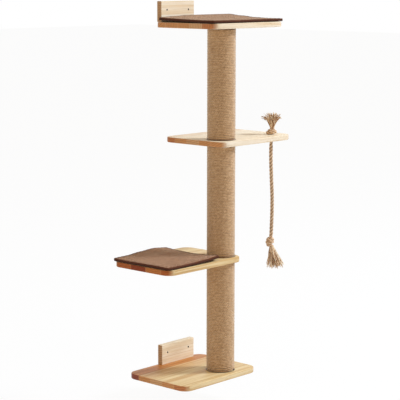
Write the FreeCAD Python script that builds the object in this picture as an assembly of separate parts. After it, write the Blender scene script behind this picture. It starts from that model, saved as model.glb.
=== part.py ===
import FreeCAD, Part
import math
import os

# Wall mounted cat tree: four solid wood boards on three rope-wound posts, hung from two wall plates.
# Millimetres. X runs along the wall, -Y points into the room, Z is up. The origin is on the wall,
# midway between the two screw holes of the upper wall plate.

# ---------------------------------------------------------------- driving dimensions
# Boards
board_length = 400.0
board_depth = 300.0
lower_board_depth = 290.0
board_thickness = 20.0
board_corner_radius = 38.0
board_edge_bevel = 2.0

# Posts: a card tube with a wooden plug in each end, wound with rope
bottom_post_length = 416.0
middle_post_length = 416.0
top_post_length = 408.0
core_diameter = 93.0
core_wall = 6.0
plug_thickness = 28.0
wrap_rope_diameter = 6.0
wrap_strand_gap = 0.5
wrap_end_turns = 2
wrap_tube_sides = 4
wrap_valley_depth = 0.8

# Post axis: from the middle of the wall plates, and from the front edge of the full boards
post_offset = 17.0
post_front_inset = 77.0

# Reach of each board to the left of the post axis
bottom_left_reach = 274.0
lower_left_reach = 348.0
upper_left_reach = 77.0
top_left_reach = 127.0

# Wall plates
plate_length = 180.0
plate_height = 76.0
plate_thickness = 20.0
plate_edge_bevel = 2.0
wall_hole_diameter = 6.5
wall_hole_spacing = 116.0
wall_hole_height = 44.0

# Wood screws that pull each wall plate down on its board
plate_screw_diameter = 5.0
plate_screw_length = 50.0
plate_screw_head_diameter = 9.5
plate_screw_end_margin = 28.0

# Threaded hardware in the posts
thread_diameter = 8.0
thread_grip = 24.0
bolt_head_diameter = 20.0
bolt_head_height = 2.5

# Mats
mat_pad_thickness = 8.0
mat_binding_width = 9.0
mat_binding_height = 10.5
mat_corner_radius = 12.0
lower_mat_overhang = 3.0
lower_mat_post_gap = 21.5
lower_mat_wall_margin = 6.0
lower_mat_front_margin = 4.0
top_mat_plate_gap = 2.0
top_mat_front_margin = 4.0
top_mat_right_margin = 4.0
hook_patch_length = 60.0
hook_patch_width = 22.0
hook_patch_thickness = 0.8
hook_patch_margin = 8.0

# Rope toy
toy_rope_diameter = 12.0
toy_hole_diameter = 13.0
toy_hole_end_inset = 55.0
toy_hole_front_inset = 60.0
toy_pivot_drop = 8.0
toy_rope_sides = 8
knot_groove_depth = 3.5
top_knot_diameter = 45.0
top_knot_turns = 2
bottom_knot_diameter = 33.0
bottom_knot_turns = 3
tuft_height = 62.0
tuft_neck_radius = 10.0
tuft_widest = 0.6
tuft_reach = 41.0
tuft_top_reach = 30.0
tuft_lean = -2.0
tassel_length = 84.0
tassel_neck_radius = 10.0
tassel_reach = 35.0
tassel_lean = 15.0
brush_sides = 16
brush_depth_share = 0.9

# The hanging rope, from its pivot down to the knot: sideways lean and drop of each route point.
# The lean runs along the direction toy_lean_direction.
toy_rope_route = [
    (0.0, 0.0),
    (-1.0, 52.0),
    (2.4, 140.0),
    (6.4, 218.0),
    (5.6, 296.0),
    (3.0, 366.0),
]
toy_lean_direction = -47.6

# Clearances
fixed_clearance = 0.1
bore_clearance = 0.3
loose_clearance = 0.3

# ---------------------------------------------------------------- derived places
V = FreeCAD.Vector
UP = V(0, 0, 1)

post_x = post_offset
post_y = -(board_depth - post_front_inset)
rope_outer_diameter = core_diameter + 2 * wrap_rope_diameter

top_board_top = -wall_hole_height
top_board_bottom = top_board_top - board_thickness
upper_board_top = top_board_bottom - top_post_length
upper_board_bottom = upper_board_top - board_thickness
lower_board_top = upper_board_bottom - middle_post_length
lower_board_bottom = lower_board_top - board_thickness
bottom_board_top = lower_board_bottom - bottom_post_length
bottom_board_bottom = bottom_board_top - board_thickness

bottom_board_left = post_x - bottom_left_reach
lower_board_left = post_x - lower_left_reach
upper_board_left = post_x - upper_left_reach
top_board_left = post_x - top_left_reach

toy_x = upper_board_left + board_length - toy_hole_end_inset
toy_y = -(board_depth - toy_hole_front_inset)
toy_pivot_z = upper_board_bottom - toy_pivot_drop

recess_depth = bolt_head_height + fixed_clearance

posts = {
    "bottom": (bottom_board_top, bottom_post_length),
    "middle": (lower_board_top, middle_post_length),
    "top": (upper_board_top, top_post_length),
}


# ---------------------------------------------------------------- shape helpers
def cylinder(diameter, height, x, y, z):
    return Part.makeCylinder(diameter / 2, height, V(x, y, z), UP)


def rounded_outline(left, front, length, depth, radius, z):
    """Closed wire of a rectangle with rounded corners; front is its -Y side."""
    right = left + length
    back = front + depth
    corners = [
        (V(right - radius, front + radius, z), 270),
        (V(right - radius, back - radius, z), 0),
        (V(left + radius, back - radius, z), 90),
        (V(left + radius, front + radius, z), 180),
    ]
    edges = []
    starts = []
    ends = []
    for centre, start in corners:
        arc = Part.ArcOfCircle(
            Part.Circle(centre, UP, radius), math.radians(start), math.radians(start + 90)
        )
        starts.append(arc.StartPoint)
        ends.append(arc.EndPoint)
        edges.append(arc.toShape())
    for index in range(len(corners)):
        following = (index + 1) % len(corners)
        edges.append(Part.LineSegment(ends[index], starts[following]).toShape())
    return Part.Wire(Part.sortEdges(edges)[0])


def rounded_slab(left, front, length, depth, radius, bottom, thickness):
    wire = rounded_outline(left, front, length, depth, radius, bottom)
    return Part.Face(wire).extrude(V(0, 0, thickness))


def horizontal_edges(shape, height):
    return [
        edge
        for edge in shape.Edges
        if all(abs(vertex.Point.z - height) < 1e-6 for vertex in edge.Vertexes)
    ]


def soften(shape, heights, bevel):
    """Bevel the outline edges that lie at the given heights."""
    edges = []
    for height in heights:
        edges += horizontal_edges(shape, height)
    return shape.makeChamfer(bevel, edges)


def save(name, shape):
    shape.exportStep("parts/" + name + ".step")
    solids = len(shape.Solids)
    print(name, "solids", solids, "valid", shape.isValid(), "volume", round(shape.Volume))


# ---------------------------------------------------------------- curved rope paths
def arc_from(start, tangent, end):
    """Arc edge that leaves start along the unit tangent and stops at end."""
    chord = end - start
    across = chord - tangent * chord.dot(tangent)
    radius = chord.Length ** 2 / (2 * across.Length)
    centre = start + across.normalize() * radius
    to_start = start - centre
    to_end = end - centre
    middle = centre + (to_start + to_end).normalize() * radius
    return Part.Arc(start, middle, end).toShape()


def biarc(start, start_tangent, end, end_tangent):
    """Two arcs that leave start and reach end along the given unit tangents."""
    chord = end - start
    total = start_tangent + end_tangent
    turn = 2 * (1 - start_tangent.dot(end_tangent))
    along = chord.dot(total)
    reach = (math.sqrt(along ** 2 + turn * chord.Length ** 2) - along) / turn
    joint = (start + end + (start_tangent - end_tangent) * reach) * 0.5
    joint_tangent = (end - end_tangent * reach - start - start_tangent * reach).normalize()
    return [arc_from(start, start_tangent, joint), arc_from(joint, joint_tangent, end)]


def on_circle(centre_x, centre_y, radius, angle, z):
    turn = math.radians(angle)
    return V(centre_x + radius * math.cos(turn), centre_y + radius * math.sin(turn), z)


def heading(angle):
    turn = math.radians(angle)
    return V(-math.sin(turn), math.cos(turn), 0)


def straight_end(point, direction, length):
    return Part.LineSegment(point, point + direction * length).toShape()


def winding_path(radius, first_z, start_angle):
    """Rope laid round a post: level for three quarters of a turn, then a quarter that climbs."""
    quarter = 90
    angle = start_angle
    z = first_z
    start = on_circle(post_x, post_y, radius, angle, z)
    lead = straight_end(start - heading(angle) * wrap_tube_diameter, heading(angle), wrap_tube_diameter)
    edges = [lead]
    for turn in range(wrap_end_turns):
        if turn > 0:
            start = on_circle(post_x, post_y, radius, angle, z)
            z += wrap_rope_diameter
            end = on_circle(post_x, post_y, radius, angle + quarter, z)
            edges += biarc(start, heading(angle), end, heading(angle + quarter))
            angle += quarter
        for step in range(3):
            start = on_circle(post_x, post_y, radius, angle, z)
            end = on_circle(post_x, post_y, radius, angle + quarter, z)
            edges.append(arc_from(start, heading(angle), end))
            angle += quarter
    edges.append(straight_end(end, heading(angle), wrap_tube_diameter))
    return Part.Wire(edges)


def tube_ring(path, diameter, sides):
    """Closed section with flats, square to the start of a path."""
    first = path.Edges[0]
    start = first.valueAt(first.FirstParameter)
    circle = Part.Circle(start, first.tangentAt(first.FirstParameter), diameter / 2)
    corners = [circle.value(2 * math.pi * n / sides) for n in range(sides)]
    return Part.makePolygon(corners + [corners[0]])


def tube_along(path, ring):
    return path.makePipeShell([ring], True, False)


def least_gap(path, diameter, samples=400):
    """Least clear distance between turns of a tube, measured on points of its path."""
    points = path.discretize(samples)
    step = path.Length / (samples - 1)
    skip = int(math.pi * diameter / step) + 1
    least = path.Length
    for index in range(len(points)):
        for other in range(index + skip, len(points)):
            least = min(least, points[index].distanceToPoint(points[other]))
    return least - diameter


# ---------------------------------------------------------------- boards and wall plates
def plate_screw_xs():
    reach = plate_length / 2 - plate_screw_end_margin
    return [-reach, reach]


def board(left, depth, top):
    bottom = top - board_thickness
    slab = rounded_slab(
        left, -depth, board_length, depth, board_corner_radius, bottom, board_thickness
    )
    return soften(slab, [bottom, top], board_edge_bevel)


def countersunk_holes(board_bottom):
    """Clearance holes with countersinks for the screws that rise into a wall plate."""
    cuts = []
    head_radius = plate_screw_head_diameter / 2 + fixed_clearance
    hole_radius = plate_screw_diameter / 2 + fixed_clearance
    sink_depth = head_radius - hole_radius
    for x in plate_screw_xs():
        place = V(x, -plate_thickness / 2, board_bottom)
        cuts.append(Part.makeCone(head_radius, hole_radius, sink_depth, place, UP))
        cuts.append(Part.makeCylinder(hole_radius, board_thickness, place, UP))
    return cuts


def through_hole(board_bottom):
    hole = thread_diameter + 2 * bore_clearance
    return cylinder(hole, board_thickness, post_x, post_y, board_bottom)


def head_recess(bottom):
    diameter = bolt_head_diameter + 2 * bore_clearance
    return cylinder(diameter, recess_depth, post_x, post_y, bottom)


def bottom_board():
    recess = head_recess(bottom_board_bottom)
    cuts = [through_hole(bottom_board_bottom), recess] + countersunk_holes(bottom_board_bottom)
    return board(bottom_board_left, board_depth, bottom_board_top).cut(cuts)


def lower_board():
    slab = board(lower_board_left, lower_board_depth, lower_board_top)
    return slab.cut(through_hole(lower_board_bottom))


def upper_board():
    hole = cylinder(toy_hole_diameter, board_thickness, toy_x, toy_y, upper_board_bottom)
    slab = board(upper_board_left, board_depth, upper_board_top)
    return slab.cut([through_hole(upper_board_bottom), hole])


def top_board():
    recess = head_recess(top_board_top - recess_depth)
    cuts = [through_hole(top_board_bottom), recess] + countersunk_holes(top_board_bottom)
    return board(top_board_left, board_depth, top_board_top).cut(cuts)


def wall_plate(bottom):
    """Upright plate that stands on the rear edge of a board, flat against the wall."""
    block = Part.makeBox(
        plate_length, plate_thickness, plate_height, V(-plate_length / 2, -plate_thickness, bottom)
    )
    bevelled = []
    top = bottom + plate_height
    for edge in block.Edges:
        centre = edge.CenterOfMass
        at_wall = abs(centre.y) < 1e-6
        at_foot = abs(centre.z - bottom) < 1e-6
        along_top = abs(centre.z - top) < 1e-6
        along_front = abs(centre.y + plate_thickness) < 1e-6
        if not at_wall and not at_foot and (along_top or along_front):
            bevelled.append(edge)
    plate = block.makeChamfer(plate_edge_bevel, bevelled)
    cuts = []
    for side in (-1, 1):
        place = V(side * wall_hole_spacing / 2, 0, bottom + wall_hole_height)
        cuts.append(Part.makeCylinder(wall_hole_diameter / 2, plate_thickness, place, V(0, -1, 0)))
    pilot_depth = plate_screw_length - board_thickness + bore_clearance
    for x in plate_screw_xs():
        place = V(x, -plate_thickness / 2, bottom)
        radius = plate_screw_diameter / 2 + fixed_clearance
        cuts.append(Part.makeCylinder(radius, pilot_depth, place, UP))
    return plate.cut(cuts)


def plate_screws():
    """Countersunk wood screws, heads flush with the undersides of the two outer boards."""
    screws = []
    head_radius = plate_screw_head_diameter / 2
    shank_radius = plate_screw_diameter / 2
    head_height = head_radius - shank_radius
    for board_bottom in (bottom_board_bottom, top_board_bottom):
        for x in plate_screw_xs():
            place = V(x, -plate_thickness / 2, board_bottom)
            head = Part.makeCone(head_radius, shank_radius, head_height, place, UP)
            shank = Part.makeCylinder(shank_radius, plate_screw_length, place, UP)
            screws.append(head.fuse(shank).removeSplitter())
    return Part.makeCompound(screws)


# ---------------------------------------------------------------- posts
def post_core(foot, length):
    outer = cylinder(core_diameter, length, post_x, post_y, foot)
    inner = cylinder(core_diameter - 2 * core_wall, length, post_x, post_y, foot)
    return outer.cut(inner)


def post_plugs():
    """Turned wooden plugs at both ends of each tube, bored for the bolts and studs."""
    diameter = core_diameter - 2 * core_wall - 2 * fixed_clearance
    bore = thread_diameter + 2 * fixed_clearance
    plugs = []
    for foot, length in posts.values():
        for bottom in (foot, foot + length - plug_thickness):
            plug = cylinder(diameter, plug_thickness, post_x, post_y, bottom)
            plugs.append(plug.cut(cylinder(bore, plug_thickness, post_x, post_y, bottom)))
    return Part.makeCompound(plugs)


def joining_studs():
    """Threaded studs that run through the two middle boards into the posts on both sides."""
    length = board_thickness + 2 * thread_grip
    studs = []
    for board_bottom in (lower_board_bottom, upper_board_bottom):
        stud = cylinder(thread_diameter, length, post_x, post_y, board_bottom - thread_grip)
        studs.append(stud)
    return Part.makeCompound(studs)


def end_bolts():
    """Flat-headed connector bolts: up through the bottom board, and down through the top board."""
    shank_length = board_thickness + thread_grip
    bolts = []
    for face, direction in ((bottom_board_bottom, UP), (top_board_top, -UP)):
        outside = V(post_x, post_y, face) + direction * fixed_clearance
        head = Part.makeCylinder(bolt_head_diameter / 2, bolt_head_height, outside, direction)
        shank = Part.makeCylinder(thread_diameter / 2, shank_length, outside, direction)
        bolts.append(head.fuse(shank).removeSplitter())
    return Part.makeCompound(bolts)


# ---------------------------------------------------------------- rope windings on the posts
wrap_tube_diameter = wrap_rope_diameter - wrap_strand_gap
wrap_path_radius = core_diameter / 2 + loose_clearance + wrap_tube_diameter / 2
wrap_end_height = wrap_end_turns * wrap_rope_diameter


def wrap_sleeve(foot, length):
    """The closely wound middle of a post's winding, as one sleeve round the tube."""
    bottom = foot + wrap_end_height
    height = length - 2 * wrap_end_height
    outer = cylinder(rope_outer_diameter - wrap_valley_depth, height, post_x, post_y, bottom)
    bore = core_diameter + 2 * fixed_clearance
    return outer.cut(cylinder(bore, height, post_x, post_y, bottom))


def end_turns():
    """The first and last turns of each winding, one unbroken tube at each end of each post."""
    front_right = 285
    towards_wall = 135
    coils = []
    for foot, length in posts.values():
        for first_z, start in (
            (foot + wrap_rope_diameter / 2, front_right),
            (foot + length - wrap_end_height + wrap_rope_diameter / 2, towards_wall),
        ):
            path = winding_path(wrap_path_radius, first_z, start)
            ring = tube_ring(path, wrap_tube_diameter, wrap_tube_sides)
            coils.append(tube_along(path, ring))
    print("post winding: least gap", round(least_gap(path, wrap_tube_diameter), 2))
    return Part.makeCompound(coils)


# ---------------------------------------------------------------- mats
def mat_ring(left, front, length, depth, bottom):
    """Bound edge of a mat: a soft strip folded round its whole outline."""
    outer = rounded_slab(left, front, length, depth, mat_corner_radius, bottom, mat_binding_height)
    inner = rounded_slab(
        left + mat_binding_width,
        front + mat_binding_width,
        length - 2 * mat_binding_width,
        depth - 2 * mat_binding_width,
        mat_corner_radius - mat_binding_width,
        bottom,
        mat_binding_height,
    )
    return outer.cut(inner)


def mat_pad(left, front, length, depth, bottom):
    inset = mat_binding_width + fixed_clearance
    radius = mat_corner_radius - mat_binding_width
    lift = (mat_binding_height - mat_pad_thickness) / 2
    return rounded_slab(
        left + inset,
        front + inset,
        length - 2 * inset,
        depth - 2 * inset,
        radius,
        bottom + lift,
        mat_pad_thickness,
    )


lower_mat = (
    lower_board_left - lower_mat_overhang,
    -(lower_board_depth - lower_mat_front_margin),
    lower_left_reach + lower_mat_overhang - rope_outer_diameter / 2 - lower_mat_post_gap,
    lower_board_depth - lower_mat_wall_margin - lower_mat_front_margin,
    lower_board_top + loose_clearance,
)
top_mat_depth = board_depth - plate_thickness - top_mat_plate_gap - top_mat_front_margin
top_mat = (
    top_board_left,
    -(board_depth - top_mat_front_margin),
    board_length - top_mat_right_margin,
    top_mat_depth,
    top_board_top + loose_clearance,
)


def hook_patches():
    """Self-adhesive hook strips on the two boards, four under each mat, inside its bound edge."""
    across = mat_binding_width + hook_patch_margin
    patches = []
    for left, front, length, depth, bottom in (lower_mat, top_mat):
        low = bottom - loose_clearance
        for x in (left + across, left + length - across - hook_patch_width):
            for y in (front + across, front + depth - across - hook_patch_length):
                corner = V(x, y, low)
                patches.append(
                    Part.makeBox(hook_patch_width, hook_patch_length, hook_patch_thickness, corner)
                )
    return Part.makeCompound(patches)


# ---------------------------------------------------------------- rope toy
rope_end_lean, rope_end_drop = toy_rope_route[-1]
bottom_knot_top = toy_pivot_z - rope_end_drop
top_knot_foot = upper_board_top + loose_clearance
top_knot_height = top_knot_turns * toy_rope_diameter
bottom_knot_height = bottom_knot_turns * toy_rope_diameter


def lean_point(lean, z):
    """Point beside the toy's axis, moved sideways along the lean direction."""
    turn = math.radians(toy_lean_direction)
    return V(toy_x + lean * math.cos(turn), toy_y + lean * math.sin(turn), z)


def ring_corners(section):
    """Corners of one oval section: its lean, its height, and its half width along the lean."""
    lean, z, half_width = section
    across = math.radians(toy_lean_direction)
    corners = []
    for n in range(brush_sides):
        turn = 2 * math.pi * n / brush_sides
        along = half_width * math.cos(turn)
        aside = half_width * brush_depth_share * math.sin(turn)
        x = along * math.cos(across) - aside * math.sin(across)
        y = along * math.sin(across) + aside * math.cos(across)
        corners.append(lean_point(lean, z) + V(x, y, 0))
    return corners


def stacked(sections):
    """Solid with flats through oval sections, from the lowest to the highest."""
    rings = [ring_corners(section) for section in sections]
    faces = []
    for lower, upper in zip(rings, rings[1:]):
        for n in range(brush_sides):
            after = (n + 1) % brush_sides
            side = [lower[n], lower[after], upper[after], upper[n], lower[n]]
            faces.append(Part.Face(Part.makePolygon(side)))
    for ring in (rings[0], rings[-1]):
        faces.append(Part.Face(Part.makePolygon(ring + [ring[0]])))
    shell = Part.makeShell(faces)
    shell.sewShape()
    solid = Part.Solid(shell)
    if solid.Volume < 0:
        solid.reverse()
    return solid


def knot(turns, outer_radius, lean, foot):
    """Stopper knot: the rope's loops pulled tight, as one body with a groove between loops."""
    groove_radius = outer_radius - knot_groove_depth
    sections = [(lean, foot, groove_radius)]
    for turn in range(turns):
        low = foot + turn * toy_rope_diameter
        high = low + toy_rope_diameter
        sections.append((lean, low + knot_groove_depth, outer_radius))
        sections.append((lean, high - knot_groove_depth, outer_radius))
        sections.append((lean, high, groove_radius))
    return stacked(sections)


def toy_neck():
    """The rope inside the board's hole, up to the stopper knot."""
    foot = toy_pivot_z + toy_rope_diameter / 2 + loose_clearance
    return cylinder(toy_rope_diameter, top_knot_foot - foot, toy_x, toy_y, foot)


def top_knot():
    return knot(top_knot_turns, top_knot_diameter / 2, 0, top_knot_foot)


def toy_rope_path():
    """Straight runs joined by tangent arcs, each arc as large as its two runs allow."""
    points = [lean_point(lean, toy_pivot_z - drop) for lean, drop in toy_rope_route]
    arc_share = 0.45
    edges = []
    radii = []
    last = points[0]
    for index in range(1, len(points) - 1):
        before = points[index] - points[index - 1]
        after = points[index + 1] - points[index]
        reach = arc_share * min(before.Length, after.Length)
        radii.append(round(reach / math.tan(before.getAngle(after) / 2)))
        before.normalize()
        after.normalize()
        start = points[index] - before * reach
        end = points[index] + after * reach
        edges.append(Part.LineSegment(last, start).toShape())
        edges.append(arc_from(start, before, end))
        last = end
    edges.append(Part.LineSegment(last, points[-1]).toShape())
    print("toy rope: arc radii", radii)
    return Part.Wire(edges)


def toy_rope():
    """The hanging rope, with a ball end at its pivot so that it swings clear of the board."""
    path = toy_rope_path()
    ring = tube_ring(path, toy_rope_diameter, toy_rope_sides)
    tube = tube_along(path, ring)
    share = tube.Volume / (Part.Face(ring).Area * path.Length)
    print("toy rope: length", round(path.Length, 1), "volume share", round(share, 4))
    inner_radius = toy_rope_diameter / 2 * math.cos(math.pi / toy_rope_sides)
    ball = Part.makeSphere(inner_radius - fixed_clearance, lean_point(0, toy_pivot_z))
    return tube.fuse(ball).removeSplitter()


def bottom_knot():
    foot = bottom_knot_top - bottom_knot_height
    return knot(bottom_knot_turns, bottom_knot_diameter / 2, rope_end_lean, foot)


def top_tuft():
    """Brush of frayed strands that opens upwards from the stopper knot."""
    foot = top_knot_foot + top_knot_height
    sections = [
        (0, foot, tuft_neck_radius),
        (tuft_lean, foot + tuft_widest * tuft_height, tuft_reach),
        (tuft_lean, foot + tuft_height, tuft_top_reach),
    ]
    return stacked(sections)


def bottom_tassel():
    """Brush of frayed strands that hangs open, to one side, below the lower knot."""
    top = bottom_knot_top - bottom_knot_height
    sections = [
        (rope_end_lean + tassel_lean, top - tassel_length, tassel_reach),
        (rope_end_lean, top, tassel_neck_radius),
    ]
    return stacked(sections)


# ---------------------------------------------------------------- every piece
def main():
    os.makedirs("parts", exist_ok=True)
    save("bottom_board", bottom_board())
    save("lower_board", lower_board())
    save("upper_board", upper_board())
    save("top_board", top_board())
    save("bottom_wall_plate", wall_plate(bottom_board_top))
    save("top_wall_plate", wall_plate(top_board_top))
    save("plate_screws", plate_screws())
    for name, (foot, length) in posts.items():
        save(name + "_post_core", post_core(foot, length))
        save(name + "_sisal_wrap", wrap_sleeve(foot, length))
    save("sisal_end_turns", end_turns())
    save("post_plugs", post_plugs())
    save("joining_studs", joining_studs())
    save("end_bolts", end_bolts())
    save("lower_mat_binding", mat_ring(*lower_mat))
    save("lower_mat_pad", mat_pad(*lower_mat))
    save("top_mat_binding", mat_ring(*top_mat))
    save("top_mat_pad", mat_pad(*top_mat))
    save("mat_hook_patches", hook_patches())
    save("toy_neck", toy_neck())
    save("toy_top_knot", top_knot())
    save("toy_top_tuft", top_tuft())
    save("toy_rope", toy_rope())
    save("toy_bottom_knot", bottom_knot())
    save("toy_bottom_tassel", bottom_tassel())


main()
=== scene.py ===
import random
from math import copysign, cos, floor, hypot, pi, radians, sin, sqrt, tau

import bmesh
import bpy
from mathutils import Matrix, Vector


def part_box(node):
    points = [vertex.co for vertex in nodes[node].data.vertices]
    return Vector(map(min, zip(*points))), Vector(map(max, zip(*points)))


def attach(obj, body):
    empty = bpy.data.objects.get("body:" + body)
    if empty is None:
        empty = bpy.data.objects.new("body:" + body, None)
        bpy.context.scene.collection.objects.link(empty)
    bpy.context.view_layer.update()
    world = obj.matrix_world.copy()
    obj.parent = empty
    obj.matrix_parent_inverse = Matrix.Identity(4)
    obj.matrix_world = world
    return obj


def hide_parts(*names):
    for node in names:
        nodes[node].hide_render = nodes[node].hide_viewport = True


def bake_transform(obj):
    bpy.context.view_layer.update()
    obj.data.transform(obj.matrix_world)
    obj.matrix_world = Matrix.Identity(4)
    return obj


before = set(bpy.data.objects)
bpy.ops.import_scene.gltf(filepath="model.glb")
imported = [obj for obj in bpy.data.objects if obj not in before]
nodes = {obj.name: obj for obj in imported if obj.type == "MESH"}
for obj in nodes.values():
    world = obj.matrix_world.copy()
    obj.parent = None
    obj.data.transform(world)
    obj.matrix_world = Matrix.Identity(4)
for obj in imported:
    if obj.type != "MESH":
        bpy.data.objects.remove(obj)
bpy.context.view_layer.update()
scene = bpy.context.scene
chance = random.Random(5930)

# Metres, in the frame's own axes: X along the wall, -Y into the room, Z up. The origin is on the
# wall, midway between the two screw holes of the upper wall plate.

# The axis of the posts, and a post's radius over its rope.
POST_X = 0.017
POST_Y = -0.223
POST_RADIUS = 0.0528


# ---- mesh helpers
def add_object(name, data):
    """A new object in the scene."""
    obj = bpy.data.objects.new(name, data)
    scene.collection.objects.link(obj)
    return obj


def evaluated_mesh(obj):
    """A new mesh of what an object's curve or modifiers make."""
    bpy.context.view_layer.update()
    evaluated = obj.evaluated_get(bpy.context.evaluated_depsgraph_get())
    return bpy.data.meshes.new_from_object(evaluated)


def add_mesh(name, points, faces, material, smooth=True, uvs=None):
    """A new mesh object. uvs, where given, holds one pair for each corner of each face."""
    mesh = bpy.data.meshes.new(name)
    mesh.from_pydata(points, [], faces)
    if uvs:
        layer = mesh.uv_layers.new(name="along")
        flat = [value for face in uvs for pair in face for value in pair]
        layer.data.foreach_set("uv", flat)
    mesh.polygons.foreach_set("use_smooth", [smooth] * len(mesh.polygons))
    mesh.materials.append(material)
    mesh.update()
    return add_object(name, mesh)


def place(obj, body, slot, *stands_for):
    """Fix an object to its body, and hide the CAD nodes that it replaces. slot is not used."""
    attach(obj, body)
    if stands_for:
        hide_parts(*stands_for)


def dress(material, *names):
    """Give CAD nodes that stay visible a material of this scene."""
    for name in names:
        nodes[name].data.materials.clear()
        nodes[name].data.materials.append(material)


def eased(share):
    """A share from 0 to 1, with a soft start and a soft end."""
    return share * share * (3 - 2 * share)


def frames_along(path):
    """A tangent and two square directions at each point of a path, carried along without a twist."""
    tangents = []
    for index in range(len(path)):
        before = path[max(index - 1, 0)]
        after = path[min(index + 1, len(path) - 1)]
        tangents.append((after - before).normalized())
    side = Vector((1, 0, 0)) if abs(tangents[0].x) < 0.7 else Vector((0, 0, 1))
    result = []
    for tangent in tangents:
        side = (side - tangent * side.dot(tangent)).normalized()
        result.append((tangent, side, tangent.cross(side)))
    return result


def lengths_along(path):
    """The distance along a path at each of its points."""
    total = [0.0]
    for before, after in zip(path, path[1:]):
        total.append(total[-1] + (after - before).length)
    return total


def tube_data(path, radii, sides, start_index=0):
    """Points, faces and UVs of a closed tube; u goes round it once, v is the distance along it."""
    points = []
    faces = []
    uvs = []
    along = lengths_along(path)
    for point, radius, (tangent, side, other) in zip(path, radii, frames_along(path)):
        for n in range(sides):
            turn = tau * n / sides
            points.append(point + (side * cos(turn) + other * sin(turn)) * radius)
    for row in range(len(path) - 1):
        for n in range(sides):
            after = (n + 1) % sides
            low = start_index + row * sides
            high = low + sides
            faces.append((low + n, low + after, high + after, high + n))
            u, u_after = n / sides, (n + 1) / sides
            v, v_after = along[row], along[row + 1]
            uvs.append(((u, v), (u_after, v), (u_after, v_after), (u, v_after)))
    first = [start_index + n for n in range(sides)]
    last = [start_index + (len(path) - 1) * sides + n for n in range(sides)]
    faces.append(tuple(reversed(first)))
    faces.append(tuple(last))
    uvs.append(tuple((0.0, 0.0) for _ in first))
    uvs.append(tuple((0.0, along[-1]) for _ in last))
    return points, faces, uvs


def add_tubes(name, tubes, material, depth_of=None):
    """One object of several tubes, each given as (path, radii, sides). depth_of, where given, tells
    how far out of its rope a point lies, from 0 in a crevice to 1 on a crest, or less in shade."""
    points = []
    faces = []
    uvs = []
    depths = []
    for index, (path, radii, sides) in enumerate(tubes):
        new_points, new_faces, new_uvs = tube_data(path, radii, sides, len(points))
        if depth_of:
            depths += [depth_of(index, n // sides, point) for n, point in enumerate(new_points)]
        points += new_points
        faces += new_faces
        uvs += new_uvs
    obj = add_mesh(name, points, faces, material, uvs=uvs)
    if depth_of:
        layer = obj.data.attributes.new("crest", "FLOAT", "POINT")
        layer.data.foreach_set("value", depths)
    return obj


# ---- material helpers
def tint(red, green, blue):
    """Linear colour from the 0 to 255 values of a colour as it is seen."""
    linear = []
    for value in (red, green, blue):
        share = value / 255
        linear.append(share / 12.92 if share <= 0.04045 else ((share + 0.055) / 1.055) ** 2.4)
    return (*linear, 1.0)


class Tree:
    """A tree of shader nodes, with short calls for the nodes that are used below."""

    def __init__(self, tree):
        self.tree = tree

    def put(self, socket, value):
        """Set an input socket to a plain value, or link another node's output to it."""
        if isinstance(value, bpy.types.NodeSocket):
            self.tree.links.new(value, socket)
        else:
            socket.default_value = value

    def node(self, kind, inputs=None, **settings):
        """A new node. inputs holds what goes into its sockets, by their names or numbers."""
        made = self.tree.nodes.new("ShaderNode" + kind)
        for key, value in settings.items():
            setattr(made, key, value)
        for key, value in (inputs or {}).items():
            self.put(made.inputs[key], value)
        return made


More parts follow.
